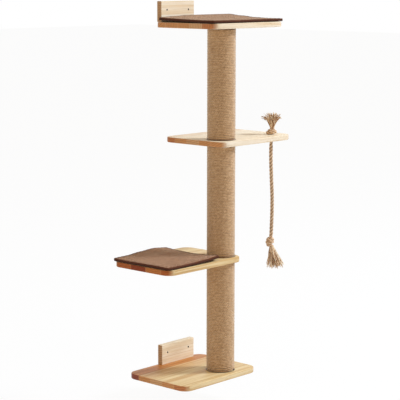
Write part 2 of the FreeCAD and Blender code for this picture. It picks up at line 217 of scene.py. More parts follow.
class Surface(Tree):
    """A material's tree."""

    def __init__(self, name, roughness):
        self.material = bpy.data.materials.new(name)
        self.material.use_nodes = True
        super().__init__(self.material.node_tree)
        self.shader = self.tree.nodes["Principled BSDF"]
        self.shader.inputs["Roughness"].default_value = roughness

    def coordinates(self, kind="Object"):
        return self.node("TexCoord").outputs[kind]

    def tube_coordinates(self):
        """How far round a tube a point lies, from 0 to 1, and its distance along the tube."""
        return self.split(self.node("UVMap", uv_map="along").outputs["UV"])

    def scaled(self, vector, scale):
        return self.node("Mapping", {"Vector": vector, "Scale": scale}).outputs["Vector"]

    def split(self, vector):
        return self.node("SeparateXYZ", {0: vector}).outputs

    def join(self, x, y, z):
        return self.node("CombineXYZ", {0: x, 1: y, 2: z}).outputs[0]

    def size(self, vector):
        return self.node("VectorMath", {0: vector}, operation="LENGTH").outputs["Value"]

    def sum(self, operation, first, second=0.0, third=0.0):
        return self.node("Math", {0: first, 1: second, 2: third}, operation=operation).outputs[0]

    def times(self, first, second):
        return self.sum("MULTIPLY", first, second)

    def sine(self, turns):
        return self.sum("SINE", self.times(turns, tau))

    def noise(self, vector, detail, roughness=0.55, distortion=0.0, scale=1.0):
        inputs = {"Vector": vector, "Scale": scale, "Detail": detail}
        inputs.update({"Roughness": roughness, "Distortion": distortion})
        return self.node("TexNoise", inputs).outputs["Fac"]

    def ramp(self, factor, stops, interpolation="LINEAR"):
        made = self.node("ValToRGB")
        made.color_ramp.interpolation = interpolation
        elements = made.color_ramp.elements
        while len(elements) < len(stops):
            elements.new(0.5)
        for element, (position, colour) in zip(elements, stops):
            element.position = position
            element.color = colour
        self.put(made.inputs[0], factor)
        return made.outputs["Color"]

    def grey(self, factor, low, high, full=1.0):
        """factor remapped so that low becomes 0 and high becomes full, held between them."""
        inputs = {"Value": factor, "From Min": low, "From Max": high, "To Max": full}
        return self.node("MapRange", inputs).outputs["Result"]

    def mix(self, factor, first, second, blend="MIX"):
        inputs = {"Factor": factor, 6: first, 7: second}
        return self.node("Mix", inputs, data_type="RGBA", blend_type=blend).outputs[2]

    def colour(self, value):
        self.put(self.shader.inputs["Base Color"], value)

    def roughness(self, value):
        self.put(self.shader.inputs["Roughness"], value)

    def shine(self, specular, **sheen):
        """Set how much it reflects, and the weight, roughness and tint of its sheen where given."""
        self.shader.inputs["Specular IOR Level"].default_value = specular
        for key, value in sheen.items():
            self.shader.inputs["Sheen " + key.title()].default_value = value

    def bump(self, height, strength, distance):
        made = self.node("Bump", {"Strength": strength, "Distance": distance, "Height": height})
        self.put(self.shader.inputs["Normal"], made.outputs["Normal"])


# ---- wood
CREAM = (tint(248, 236, 214), tint(244, 228, 198), tint(232, 208, 170))
HONEY = (tint(240, 219, 173), tint(231, 205, 152), tint(208, 168, 110))
GRAIN_LINE = tint(186, 147, 90)
SEAM = tint(150, 98, 56)
WARM_STAVE = tint(216, 154, 92)
# Painted shade on a board's upright faces.
EDGE_SHADE = tint(236, 232, 230)
FOOT_SHADE = tint(84, 48, 26)
HOLE_SHADE = tint(40, 26, 18)
END_PORE = tint(110, 58, 30)
END_LATE = tint(118, 60, 30)
END_ORANGE = tint(205, 141, 77)
END_TAN = tint(210, 160, 106)
END_DARK = tint(134, 54, 18)
END_RED = tint(188, 114, 52)
END_BROWN = tint(172, 92, 36)
END_PLATE = tint(184, 142, 94)

# How far a shade reaches, from where it starts to where it is full: either side of a post's foot,
# and out from the middle of a screw hole.
FOOT_SHADE_REACH = (0.0032, 0.0010)
HOLE_SHADE_REACH = (0.0037, 0.0033)


def glued_staves(made, place_in, glued, count, seed):
    """Equal staves glued in a row along Y: where a point lies across the row, a value of its
    stave's own, and 1 where it is on a seam."""
    y = made.split(place_in)[1]
    wavy = made.noise(made.scaled(place_in, (6, 6, 6)), 1.0)
    across = made.grey(made.sum("MULTIPLY_ADD", wavy, 0.002, y), *glued)
    counted = made.times(across, count)
    number = made.sum("ADD", made.sum("FLOOR", counted), seed + 0.37)
    key = made.node("TexWhiteNoise", {"W": number}, noise_dimensions="1D")
    off_middle = made.sum("ABSOLUTE", made.sum("SUBTRACT", made.sum("FRACT", counted), 0.5))
    return across, key.outputs["Value"], made.grey(off_middle, 0.488, 0.499)


def long_grain(made, place_in, own, faces):
    """The side of a stave: bands and clouds of three tones, and fine lines that run along X."""
    x, y, z = made.split(place_in)
    pale, middle, warm = faces
    offset = made.times(own, 7.0)
    moved = made.join(made.sum("ADD", x, offset), y, made.sum("ADD", z, offset))
    streaks = made.noise(made.scaled(moved, (6, 260, 260)), 5.0, 0.62)
    bands = made.noise(made.scaled(moved, (2.0, 90, 90)), 3.0, 0.5, 0.7)
    clouds = made.noise(made.scaled(moved, (5, 14, 14)), 2.0)
    face = made.ramp(bands, [(0.34, pale), (0.5, middle), (0.63, warm)])
    face = made.mix(made.grey(clouds, 0.45, 0.85, 0.6), face, warm)
    lines = made.grey(streaks, 0.51, 0.72, 0.62)
    return made.mix(lines, face, GRAIN_LINE), streaks


def end_grain(made, place_in, own, tone):
    """The sawn end of a stave: growth rings and pores over its own tone."""
    _, y, z = made.split(place_in)
    centre_y = made.sum("MULTIPLY_ADD", own, 0.05, y)
    centre_z = made.sum("MULTIPLY_ADD", own, 0.09, z)
    inputs = {
        "Vector": made.join(0.0, centre_y, centre_z),
        "Scale": 40,
        "Distortion": 3.0,
        "Detail": 2.0,
        "Detail Scale": 2.0,
    }
    rings = made.node("TexWave", inputs, wave_type="RINGS", rings_direction="X")
    pores = made.noise(made.scaled(place_in, (900, 900, 900)), 2.0)
    end = made.mix(made.times(rings.outputs["Fac"], 0.42), tone, END_LATE)
    end = made.mix(made.grey(pores, 0.55, 0.9, 0.6), end, END_PORE)
    return end, rings.outputs["Fac"]


def foot_shade(made, place_in):
    """A dark line on a board, where the foot or the head of a post stands on it."""
    x, y, _ = made.split(place_in)
    off_axis = made.join(made.sum("SUBTRACT", x, POST_X), made.sum("SUBTRACT", y, POST_Y), 0.0)
    off_ring = made.sum("ABSOLUTE", made.sum("SUBTRACT", made.size(off_axis), POST_RADIUS))
    return made.grey(off_ring, *FOOT_SHADE_REACH, 0.85)


def hole_shade(made, place_in, hole_x, hole_z):
    """The dark inside of two screw holes along Y, at equal distances from the middle."""
    x, _, z = made.split(place_in)
    off_x = made.sum("SUBTRACT", made.sum("ABSOLUTE", x), hole_x)
    off_hole = made.join(off_x, 0.0, made.sum("SUBTRACT", z, hole_z))
    return made.grey(made.size(off_hole), *HOLE_SHADE_REACH)


def wood(name, glued, faces, staves, seed, gloss, holes=None):
    """Edge-glued staves that run along X. glued is where the row of equal staves starts and ends
    along Y, and faces holds pale, middle and warm tones. Each stave, from the wall to the front,
    has its end-grain colour and how warm its faces are. gloss is how much it reflects. holes,
    where given, is the distance from the middle and the height of two screw holes."""
    made = Surface(name, 0.4)
    place_in = made.coordinates()
    count = len(staves)
    across, own, seam = glued_staves(made, place_in, glued, count, seed)
    face, streaks = long_grain(made, place_in, own, faces)
    steps = [(index / count, (heat, heat, heat, 1.0)) for index, (_, heat) in enumerate(staves)]
    heated = made.mix(1.0, face, WARM_STAVE, "MULTIPLY")
    face = made.mix(made.ramp(across, steps, "CONSTANT"), face, heated)
    face = made.mix(made.times(seam, 0.3), face, SEAM)

    tones = [(index / count, tone) for index, (tone, _) in enumerate(staves)]
    end, rings = end_grain(made, place_in, own, made.ramp(across, tones, "CONSTANT"))
    end = made.mix(made.times(seam, 0.5), end, faces[1])

    normal = made.split(made.coordinates("Normal"))
    facing_end = made.grey(made.sum("ABSOLUTE", normal[0]), 0.30, 0.80)
    # Painted shade: a board's upright faces are made a little darker.
    if not holes:
        on_edge = made.grey(made.sum("ABSOLUTE", normal[2]), 0.8, 0.3)
        face = made.mix(on_edge, face, made.mix(1.0, face, EDGE_SHADE, "MULTIPLY"))
    whole = made.mix(facing_end, face, end)
    whole = made.mix(foot_shade(made, place_in), whole, FOOT_SHADE)
    if holes:
        whole = made.mix(hole_shade(made, place_in, *holes), whole, HOLE_SHADE)
    made.colour(whole)
    made.roughness(made.grey(streaks, -0.9, 1.9))
    made.shine(gloss)
    made.bump(made.mix(facing_end, streaks, rings), 0.18, 0.0006)
    return made.material


def plain_wood(name, pale, dark, rough=0.7):
    """Turned or sawn wood that is mostly hidden."""
    made = Surface(name, rough)
    vector = made.scaled(made.coordinates(), (60, 60, 12))
    grain = made.noise(vector, 4.0, 0.6, 0.5, scale=3.0)
    made.colour(made.ramp(grain, [(0.3, pale), (0.7, dark)]))
    made.bump(grain, 0.15, 0.0005)
    return made.material


# ---- ropes and cloth
ROPE_SHADOW = tint(66, 42, 26)


def rope_material(name, pale, middle, dark, strands, lay, relief, crevice, fuzz):
    """Twisted fibres: strands lie slanted round the rope, and repeat each lay along it. relief is how much
    they stand out, and how dark the painted shade in the grooves between them is; fuzz is how much the
    rope's nap shines. crevice holds the crest value where the painted shade of a crevice is full and the one
    where the rope has its own tones; below 0 it goes on to deep painted shade."""
    made = Surface(name, 0.9)
    uv = made.tube_coordinates()
    uneven = made.noise(made.join(0.0, made.times(uv[1], 28), 0.0), 2.0)
    along = made.sum("MULTIPLY_ADD", uv[1], 1 / lay, made.times(uneven, 3.0))
    turns = made.sum("MULTIPLY_ADD", uv[0], strands, along)
    wave = made.sine(turns)
    place_in = made.coordinates()
    fibre_place = made.join(made.times(turns, 9.0), made.times(uv[1], 90), uv[0])
    fibre = made.noise(fibre_place, 4.0, 0.7)
    blotch = made.noise(made.scaled(place_in, (130, 130, 170)), 3.0, 0.6)
    fine = made.noise(made.scaled(place_in, (1500, 1500, 1500)), 2.0)
    body = made.ramp(fibre, [(0.28, dark), (0.47, middle), (0.72, pale)])
    body = made.mix(made.grey(blotch, 0.5, 0.7, 0.35), body, dark)
    body = made.mix(made.grey(blotch, 0.5, 0.3, 0.4), body, pale)
    # Painted shade in the grooves between the strands.
    body = made.mix(made.grey(wave, 0.4, -1.2, relief), body, dark)
    body = made.mix(made.grey(fine, 0.66, 0.9), body, pale)
    crest = made.node("Attribute", attribute_name="crest").outputs["Fac"]
    # Painted shade in the crevices, and deep painted shade where the crest is below 0.
    body = made.mix(made.grey(crest, crevice[1], crevice[0]), body, dark)
    made.colour(made.mix(made.grey(crest, 0.0, -1.0), body, ROPE_SHADOW))
    made.shine(0.25, weight=fuzz, roughness=0.4, tint=tint(252, 240, 222))
    height = made.sum("MULTIPLY_ADD", wave, relief, made.times(fibre, 1.2))
    made.bump(height, 0.6, 0.0007)
    return made.material


def strand_material(name, pale, middle, dark):
    """Loose yarns and fibres of a frayed rope end, each of its own tone."""
    made = Surface(name, 0.85)
    own = made.node("NewGeometry").outputs["Random Per Island"]
    uv = made.tube_coordinates()
    place_in = made.coordinates()
    tone = made.noise(made.scaled(place_in, (160, 160, 30)), 3.0, 0.65)
    slant = made.sum("MULTIPLY_ADD", uv[1], 260, made.times(uv[0], 2))
    twist = made.sine(slant)
    mixed = made.sum("MULTIPLY_ADD", made.sum("SUBTRACT", own, 0.5), 0.6, tone)
    body = made.ramp(mixed, [(0.28, dark), (0.45, middle), (0.62, pale)])
    # Painted shade in the grooves along each yarn's twist.
    made.colour(made.mix(made.grey(twist, 0.4, -3.2), body, dark))
    made.shine(0.25, weight=0.3, tint=tint(250, 232, 206))
    made.bump(twist, 0.4, 0.0003)
    return made.material


def felt_material(name):
    """Brown looped felt, mottled, with tan and dark flecks."""
    made = Surface(name, 0.96)
    place_in = made.coordinates()
    fleck = made.noise(made.scaled(place_in, (560, 560, 560)), 3.0, 0.7)
    tufts = made.noise(made.scaled(place_in, (170, 170, 170)), 3.5, 0.75)
    cloud = made.noise(made.scaled(place_in, (24, 24, 24)), 2.0)
    tones = [(0.30, tint(56, 26, 15)), (0.42, tint(116, 62, 36))]
    tones += [(0.56, tint(152, 94, 60)), (0.70, tint(226, 174, 126))]
    body = made.ramp(fleck, tones)
    lighter = made.grey(tufts, 0.51, 0.61, 0.7)
    darker = made.grey(tufts, 0.49, 0.39, 0.7)
    body = made.mix(lighter, body, tint(216, 168, 126))
    body = made.mix(darker, body, tint(68, 35, 23))
    body = made.mix(made.grey(cloud, 0.45, 1.6), body, tint(150, 98, 66))
    made.colour(body)
    made.shine(0.2, weight=1.0, roughness=0.29, tint=tint(252, 228, 202))
    made.bump(made.sum("MULTIPLY_ADD", tufts, 2.0, fleck), 0.7, 0.0012)
    return made.material


# The tape's threads: how many go round it, how many lie along a metre of it, where its line of
# stitches runs, as a share of the way round, and how long a stitch is with its gap.
THREADS_ROUND = 26
THREADS_ALONG = 1100
STITCH_LINE = 0.36
STITCH_LENGTH = 0.0045


def binding_material(name):
    """Dark brown woven tape, with a line of stitches near its inner edge, a painted highlight along its top
    and painted shade along its underside.
    """
    made = Surface(name, 0.8)
    uv = made.tube_coordinates()
    weave_across = made.sine(made.times(uv[0], THREADS_ROUND))
    weave_along = made.sine(made.times(uv[1], THREADS_ALONG))
    weave = made.times(weave_across, weave_along)
    off_line = made.sum("ABSOLUTE", made.sum("SUBTRACT", uv[0], STITCH_LINE))
    dashes = made.sine(made.times(uv[1], 1 / STITCH_LENGTH))
    stitch = made.times(made.grey(off_line, 0.022, 0.014), made.grey(dashes, -0.3, 0.1))
    worn = made.noise(made.scaled(made.coordinates(), (120, 120, 120)), 3.0)
    # Tones round the tape, from its outer side over its top to its underside: the lighter top is a painted
    # highlight, the dark underside painted shade.
    tones = [(0.0, tint(84, 46, 30)), (0.2, tint(124, 78, 52)), (0.4, tint(104, 62, 40))]
    tones += [(0.62, tint(38, 20, 12)), (0.85, tint(34, 18, 11)), (1.0, tint(78, 42, 27))]
    lit_top_shaded_underside = made.ramp(uv[0], tones)
    body = made.mix(made.grey(worn, 0.4, 0.9), lit_top_shaded_underside, tint(70, 42, 32))
    body = made.mix(made.grey(weave, -1.6, 1.6, 0.3), body, tint(52, 32, 24))
    made.colour(made.mix(stitch, body, tint(140, 104, 80)))
    made.shine(0.1, weight=0.04)
    made.bump(made.sum("MULTIPLY_ADD", stitch, 2.0, weave), 0.35, 0.0004)
    return made.material


def metal_material(name):
    """Zinc-plated steel, finely brushed."""
    made = Surface(name, 0.35)
    made.shader.inputs["Metallic"].default_value = 1.0
    vector = made.scaled(made.coordinates(), (900, 900, 60))
    brushed = made.noise(vector, 2.0)
    made.colour(made.ramp(brushed, [(0.3, tint(150, 152, 156)), (0.7, tint(205, 206, 208))]))
    made.roughness(made.grey(brushed, -0.6, 2.2))
    made.bump(brushed, 0.1, 0.0002)
    return made.material


def hook_material(name):
    """Black tape set with tiny hooks."""
    made = Surface(name, 0.7)
    inputs = {"Vector": made.coordinates(), "Scale": 700}
    distance = made.node("TexVoronoi", inputs, feature="F1").outputs["Distance"]
    made.colour(made.ramp(distance, [(0.1, tint(60, 60, 62)), (0.6, tint(20, 20, 21))]))
    made.bump(distance, 0.6, 0.0005)
    return made.material


# ---- boards
BOARD_CORNER = 0.038
BOARD_CORNER_STEPS = 18
BOARD_ROUND = 0.0028
SHARP_ANGLE = radians(40)
HOLE_SIDES = 48


def rounded_rectangle(low_x, low_y, high_x, high_y, radius, steps):
    """Outline points of a rectangle whose corners are quarter circles."""
    corners = [
        (high_x - radius, low_y + radius, -90),
        (high_x - radius, high_y - radius, 0),
        (low_x + radius, high_y - radius, 90),
        (low_x + radius, low_y + radius, 180),
    ]
    outline = []
    for centre_x, centre_y, start in corners:
        for step in range(steps + 1):
            turn = radians(start + 90 * step / steps)
            outline.append((centre_x + radius * cos(turn), centre_y + radius * sin(turn)))
    return outline


def cutter(x, y, radius, low_z, high_z, top_radius=None):
    """An upright cylinder or cone to cut a hole with."""
    low = Vector((x, y, low_z))
    high = Vector((x, y, high_z))
    radii = {"radius1": radius, "radius2": top_radius or radius}
    mesh = bpy.data.meshes.new("cutter")
    made = bmesh.new()
    bmesh.ops.create_cone(
        made, cap_ends=True, segments=HOLE_SIDES, depth=(high - low).length, **radii
    )
    made.transform(Matrix.Translation((low + high) / 2))
    made.to_mesh(mesh)
    made.free()
    return add_object("cutter", mesh)


def cut_holes(obj, cutters):
    """Cut all the holes out of an object's mesh, and remove the cutters."""
    for tool in cutters:
        modifier = obj.modifiers.new("hole", "BOOLEAN")
        modifier.object = tool
        modifier.solver = "EXACT"
    mesh = evaluated_mesh(obj)
    obj.modifiers.clear()
    obj.data = mesh
    for tool in cutters:
        bpy.data.objects.remove(tool)


def board(node, material, holes):
    """A board with rounded corners and rounded-over edges, in the place of its CAD node. Each of
    its holes is what cutter takes."""
    low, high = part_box(node)
    outline = rounded_rectangle(low.x, low.y, high.x, high.y, BOARD_CORNER, BOARD_CORNER_STEPS)
    made = bmesh.new()
    ring = [made.verts.new((x, y, low.z)) for x, y in outline]
    bottom = made.faces.new(ring)
    grown = bmesh.ops.extrude_face_region(made, geom=[bottom])
    for vertex in grown["geom"]:
        if isinstance(vertex, bmesh.types.BMVert):
            vertex.co.z = high.z
    bmesh.ops.recalc_face_normals(made, faces=made.faces)
    flat = [edge for edge in made.edges if abs(edge.verts[0].co.z - edge.verts[1].co.z) < 1e-6]
    bmesh.ops.bevel(made, geom=flat, offset=BOARD_ROUND, segments=4, profile=0.5, affect="EDGES")
    mesh = bpy.data.meshes.new(node + "_wood")
    made.to_mesh(mesh)
    made.free()
    mesh.materials.append(material)
    obj = add_object(node + "_wood", mesh)
    cut_holes(obj, [cutter(*hole) for hole in holes])
    obj.data.polygons.foreach_set("use_smooth", [True] * len(obj.data.polygons))
    obj.data.set_sharp_from_angle(angle=SHARP_ANGLE)
    place(obj, "root", "pine_board", node)


# ---- windings
ROPE_PITCH = 0.0059
ROPE_SWELL = 1.06
ROPE_SIDES = 12
CORE_RADIUS = 0.0465
STEPS_A_TURN = 56

# The turns at both ends lie level and climb in a short share of a turn; the last isn't whole.
LEVEL_TURNS = 3
CLIMB_SHARE = 0.12
LAST_TURN = 0.97

# How far the rope strays from its circle: in a slow wave, and at random.
WAVER = 0.00025
WAVER_PACE = 3.1
JITTER = 0.00008

# How much darker the rope is at a board, and how far from the board this ends.
END_SHADE = 1.6
END_SHADE_REACH = 0.008


def winding(name, low_z, high_z, start_angle, material, *stands_for):
    """A post's rope, wound from its foot to its top as one unbroken tube."""
    turns = round((high_z - low_z) / ROPE_PITCH)
    pitch = (high_z - low_z) / turns
    radius = pitch / 2 * ROPE_SWELL
    path = []
    for step in range((turns - 1) * STEPS_A_TURN + int(LAST_TURN * STEPS_A_TURN)):
        turn = step / STEPS_A_TURN
        whole = floor(turn)
        part = turn - whole
        climb = eased(max(0.0, (part - (1 - CLIMB_SHARE)) / CLIMB_SHARE))
        ease = min(1.0, turn / LEVEL_TURNS, (turns - turn) / LEVEL_TURNS)
        share = climb * (1 - ease) + part * ease
        z = low_z + pitch / 2 + pitch * (whole + share)
        z = min(z, high_z - pitch / 2)
        angle = start_angle + tau * turn
        wobble = WAVER * sin(WAVER_PACE * turn) + chance.uniform(-JITTER, JITTER)
        reach = CORE_RADIUS + radius + wobble
        path.append(Vector((POST_X + reach * cos(angle), POST_Y + reach * sin(angle), z)))

    def depth_of(_, __, point):
        out = hypot(point.x - POST_X, point.y - POST_Y) - CORE_RADIUS
        from_end = min(point.z - low_z, high_z - point.z)
        return out / radius - 1.0 - END_SHADE * max(0.0, 1.0 - from_end / END_SHADE_REACH)

    obj = add_tubes(name, [(path, [radius] * len(path), ROPE_SIDES)], material, depth_of)
    place(obj, "root", "sisal_winding", *stands_for)


# ---- mats
def net_height(net, u, v):
    """Smooth height in a net of rows of heights, the first row at the front edge."""
    rows = len(net) - 1
    columns = len(net[0]) - 1
    row = min(int(v * rows), rows - 1)
    column = min(int(u * columns), columns - 1)
    down = eased(v * rows - row)
    across = eased(u * columns - column)
    front = net[row][column] * (1 - across) + net[row][column + 1] * across
    back = net[row + 1][column] * (1 - across) + net[row + 1][column + 1] * across
    return front * (1 - down) + back * down


BINDING_WIDTH = 0.0075
MAT_CORNER = 0.012

# The felt's heights over its binding's foot, and how far its rim lies inside the binding's.
PAD_TOP = 0.0092
PAD_BOTTOM = 0.0016
PAD_INSET = BINDING_WIDTH * 0.45
PAD_SQUARES = 84

# The top of the felt rises over its first squares from the edge, and is rough at random.
CROWN = 0.0012
CROWN_SQUARES = 5
ROUGHNESS = 0.00018

# The binding is a little taller than the felt, squarish across, and puckered by its thread.
BINDING_RAISE = 0.0002
BINDING_OVERLAP = 0.0012
BINDING_SQUARENESS = 0.55
BINDING_SIDES = 16
BINDING_STEP = 0.004
BINDING_CORNER_STEPS = 10
PUCKER = 0.00025
PUCKER_LENGTH = 0.019


def eased_corner(x, y, low, high):
    """The point, moved so that a square corner of a grid becomes a mat's rounded one."""
    centre_x = min(max(x, low.x + MAT_CORNER), high.x - MAT_CORNER)
    centre_y = min(max(y, low.y + MAT_CORNER), high.y - MAT_CORNER)
    off_x, off_y = x - centre_x, y - centre_y
    if off_x == 0 or off_y == 0:
        return x, y
    scale = max(abs(off_x), abs(off_y)) / hypot(off_x, off_y)
    return centre_x + off_x * scale, centre_y + off_y * scale


def felt_pad(name, low, high, lift, material):
    """A closed pad of small squares, raised by lift(x, y)."""
    width, depth = high.x - low.x, high.y - low.y
    count = PAD_SQUARES
    points = []
    faces = []
    for level in (PAD_TOP, PAD_BOTTOM):
        for row in range(count + 1):
            for column in range(count + 1):
                x = low.x + PAD_INSET + (width - 2 * PAD_INSET) * column / count
                y = low.y + PAD_INSET + (depth - 2 * PAD_INSET) * row / count
                x, y = eased_corner(x, y, low, high)
                edge = min(column, row, count - column, count - row) / CROWN_SQUARES
                crown = CROWN * (1 - (1 - min(edge, 1.0)) ** 2) if level == PAD_TOP else 0.0
                grain = chance.uniform(-ROUGHNESS, ROUGHNESS) if level == PAD_TOP else 0.0
                points.append((x, y, low.z + level + crown + grain + lift(x, y)))
    across = count + 1
    size = across * across
    for row in range(count):
        for column in range(count):
            corner = row * across + column
            square = (corner, corner + 1, corner + 1 + across, corner + across)
            faces.append(square)
            faces.append(tuple(size + index for index in reversed(square)))
    rim = list(range(count))
    rim += [row * across + count for row in range(count)]
    rim += [count * across + column for column in range(count, 0, -1)]
    rim += [row * across for row in range(count, 0, -1)]
    for index, start in enumerate(rim):
        end = rim[(index + 1) % len(rim)]
        faces.append((start, size + start, size + end, end))
    return add_mesh(name, points, faces, material)


def binding_line(low, high):
    """Points close together round the middle of a mat's binding."""
    half = BINDING_WIDTH / 2
    corners = (low.x + half, low.y + half, high.x - half, high.y - half)
    outline = rounded_rectangle(*corners, MAT_CORNER - half, BINDING_CORNER_STEPS)
    dense = []
    for index, (x, y) in enumerate(outline):
        after_x, after_y = outline[(index + 1) % len(outline)]
        pieces = max(1, round(hypot(after_x - x, after_y - y) / BINDING_STEP))
        for piece in range(pieces):
            share = piece / pieces
            dense.append((x + (after_x - x) * share, y + (after_y - y) * share))
    return dense


def bound_edge(name, low, high, lift, material):
    """Folded tape round a mat's edge, raised by lift(x, y)."""
    line = binding_line(low, high)
    half_width = BINDING_WIDTH / 2
    half_height = (PAD_TOP - PAD_BOTTOM) / 2 + BINDING_OVERLAP
    middle_z = (PAD_TOP + PAD_BOTTOM) / 2 + BINDING_RAISE
    sides = BINDING_SIDES
    points = []
    faces = []
    uvs = []
    distances = [0.0]
    for index, (x, y) in enumerate(line):
        before_x, before_y = line[index - 1]
        after_x, after_y = line[(index + 1) % len(line)]
        run_x, run_y = after_x - before_x, after_y - before_y
        run = hypot(run_x, run_y)
        out_x, out_y = run_y / run, -run_x / run
        pucker = PUCKER * sin(distances[-1] * tau / PUCKER_LENGTH)
        for n in range(sides):
            turn = tau * n / sides
            across, up = cos(turn), sin(turn)
            wide = copysign(abs(across) ** BINDING_SQUARENESS, across) * (half_width + pucker)
            tall = copysign(abs(up) ** BINDING_SQUARENESS, up) * (half_height + pucker)
            height = low.z + middle_z + tall + lift(x, y)
            points.append((x + out_x * wide, y + out_y * wide, height))
        distances.append(distances[-1] + hypot(after_x - x, after_y - y))
    for index in range(len(line)):
        row = index * sides
        following = ((index + 1) % len(line)) * sides
        for n in range(sides):
            after = (n + 1) % sides
            faces.append((row + n, following + n, following + after, row + after))
            u, u_after = n / sides, (n + 1) / sides
            v, v_after = distances[index], distances[index + 1]
            uvs.append(((u, v), (u, v_after), (u_after, v_after), (u_after, v)))
    return add_mesh(name, points, faces, material, uvs=uvs)


def mat(name, net, pad_material, edge_material):
    """A felt pad with a bound edge, lying in shallow waves on its board."""
    low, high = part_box(name + "_binding")
    width, depth = high.x - low.x, high.y - low.y

    def lift(x, y):
        u = min(max((x - low.x) / width, 0.0), 1.0)
        v = min(max((y - low.y) / depth, 0.0), 1.0)
        return net_height(net, u, v)

    pad = felt_pad(name + "_felt", low, high, lift, pad_material)
    place(pad, name, "mat_felt", name + "_pad")
    edge_piece = bound_edge(name + "_bound_edge", low, high, lift, edge_material)
    place(edge_piece, name, "mat_binding", name + "_binding")


# ---- rope toy
TOY_X = 0.285
TOY_Y = -0.24
PIVOT_Z = -0.5
BOARD_TOP_Z = -0.472
STRAND_RADIUS = 0.0032
STRAND_OFFSET = 0.00325
LOOSE_STRANDS = 1.16
LOOSENING = 0.03
TOY_LAY = 0.042
STRAND_SIDES = 12
ROUTE_STEP = 0.002
ROUTE_RESOLUTION = 24
LEAN_ANGLE = radians(-47.6)
TOY_ROUTE = [
    (0.0, 0.0),
    (-0.001, 0.052),
    (0.0024, 0.140),
    (0.0064, 0.218),
    (0.0056, 0.296),
    (0.003, 0.366),
]


def lean_point(lean, z, aside=0.0):
    """Point beside the toy's axis: lean is to the right as the photograph shows it, aside is away."""
    x = TOY_X + lean * cos(LEAN_ANGLE) - aside * sin(LEAN_ANGLE)
    y = TOY_Y + lean * sin(LEAN_ANGLE) + aside * cos(LEAN_ANGLE)
    return Vector((x, y, z))


def smooth_route(route):
    """Points read from the NURBS spline whose control points are the route's."""
    curve = bpy.data.curves.new("route", "CURVE")
    curve.dimensions = "3D"
    curve.resolution_u = ROUTE_RESOLUTION
    spline = curve.splines.new("NURBS")
    spline.points.add(len(route) - 1)
    for point, (lean, drop) in zip(spline.points, route):
        point.co = (*lean_point(lean, PIVOT_Z - drop), 1.0)
    spline.order_u = 3
    spline.use_endpoint_u = True
    obj = add_object("route", curve)
    mesh = evaluated_mesh(obj)
    points = [vertex.co.copy() for vertex in mesh.vertices]
    bpy.data.objects.remove(obj)
    bpy.data.meshes.remove(mesh)
    return points


def even(path):
    """The same path with its points an even step apart."""
    along = lengths_along(path)
    count = max(2, round(along[-1] / ROUTE_STEP))
    result = []
    index = 0
    for n in range(count + 1):
        target = along[-1] * n / count
        while index < len(along) - 2 and along[index + 1] < target:
            index += 1
        span = along[index + 1] - along[index]
        share = (target - along[index]) / span if span else 0.0
        result.append(path[index].lerp(path[index + 1], share))
    return result


def add_twisted(name, paths, material, phase=0.0, loosens=False):
    """Rope of three right-hand strands along each path. One that loosens grows a little thicker
    over its first centimetres, below the hole that holds it tight."""
    tubes = []
    swells = []
    for path in paths:
        along = lengths_along(path)
        frames = frames_along(path)
        swell = [1.0] * len(path)
        if loosens:
            swell = [1 + (LOOSE_STRANDS - 1) * eased(min(1.0, far / LOOSENING)) for far in along]
        swells.append(swell)
        for strand in range(3):
            points = []
            for point, distance, (tangent, side, other), grown in zip(path, along, frames, swell):
                turn = phase + tau * (strand / 3 + distance / TOY_LAY)
                reach = STRAND_OFFSET * grown
                points.append(point + (side * cos(turn) + other * sin(turn)) * reach)
            tubes.append((points, [STRAND_RADIUS * grown for grown in swell], STRAND_SIDES))

    def depth_of(index, row, point):
        out = (point - paths[index // 3][row]).length / swells[index // 3][row]
        return (out - STRAND_OFFSET) / STRAND_RADIUS

    return add_tubes(name, tubes, material, depth_of)


# Points on a turn of each knot, the angle at which each starts, how much of a turn the stopper
# takes to open and to close, and how far the turns of the ball tilt.
STOPPER_STEPS = 28
STOPPER_START = pi * 0.8
STOPPER_OPENING = 0.3
BALL_STEPS = 32
BALL_START = pi * 0.2
BALL_TILT = 0.0035


def stopper_route(turns, low, high):
    """Rope that winds up round its own axis, from a wide loop to a narrow one. low and high each
    hold the loop's radius, its height and its lean."""
    route = []
    steps = int(turns * STOPPER_STEPS)
    for step in range(steps + 1):
        share = step / steps
        angle = LEAN_ANGLE + STOPPER_START + tau * turns * share
        opening = min(1.0, share * turns / STOPPER_OPENING, (1 - share) * turns / STOPPER_OPENING)
        radius, z, lean = (a + (b - a) * eased(share) for a, b in zip(low, high))
        reach = radius * eased(opening)
        route.append(lean_point(lean + reach * cos(angle), z, reach * sin(angle)))
    return route


def ball_route(turns, reach, top_z, foot_z, lean):
    """Rope wound round its own standing part in tilted turns, widest at the knot's middle."""
    route = []
    steps = int(turns * BALL_STEPS)
    for step in range(steps + 1):
        share = step / steps
        angle = BALL_START + tau * turns * share
        swell = 0.55 + 0.45 * sin(pi * share)
        z = top_z + (foot_z - top_z) * share + BALL_TILT * cos(angle)
        side = reach * swell * cos(angle)
        route.append(lean_point(lean + side, z, reach * swell * sin(angle)))
    return route


def softened(path, rounds):
    """The same path with its corners eased, and its ends kept."""
    for _ in range(rounds):
        inner = [(a + 2 * b + c) / 4 for a, b, c in zip(path, path[1:], path[2:])]
        path = [path[0], *inner, path[-1]]
    return path


YARN_STEPS = 14
YARN_SIDES = 6
YARN_TAPER = 0.35


